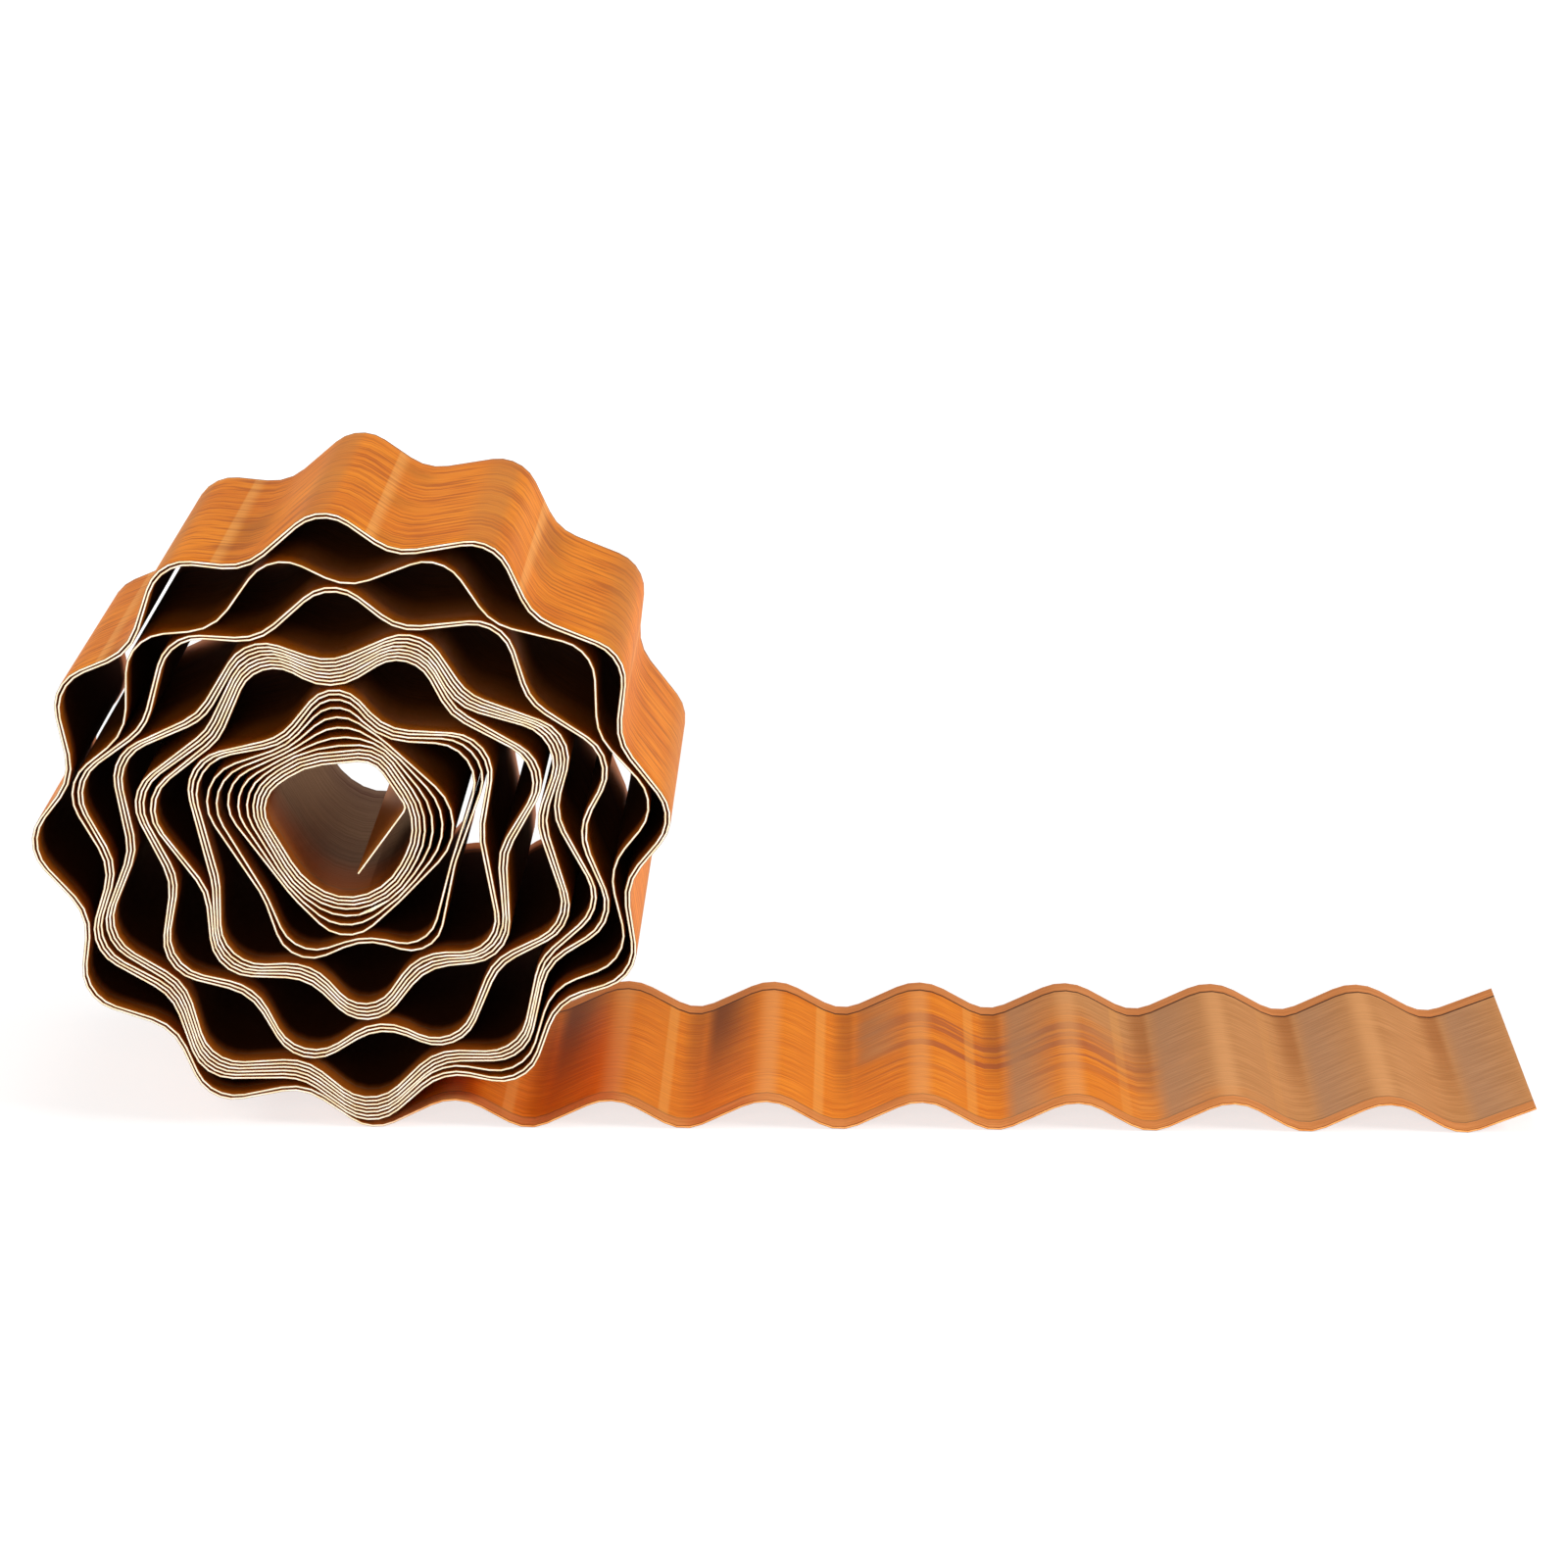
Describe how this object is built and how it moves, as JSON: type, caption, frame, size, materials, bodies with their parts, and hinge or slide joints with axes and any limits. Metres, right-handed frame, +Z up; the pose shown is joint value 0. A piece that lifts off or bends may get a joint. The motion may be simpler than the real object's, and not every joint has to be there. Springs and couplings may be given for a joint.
{
  "type": "steel landscape edging",
  "caption": "Corrugated steel garden edging strip wound into an open wavy roll standing on its waves, with a short tail laid out flat and a bent tongue in the bore.",
  "frame": {"origin": "on the floor, under the middle of the whole strip", "axes": "+X along the tail to its cut end, +Y across the strip away from the viewer, +Z up"},
  "size_m": [0.538, 0.15, 0.2258],
  "materials": {
    "rusted_steel": "orange rust-brown, brushed along the strip"
  },
  "bodies": {
    "root": {"edging_strip": "rusted_steel"}
  },
  "joints": []
}
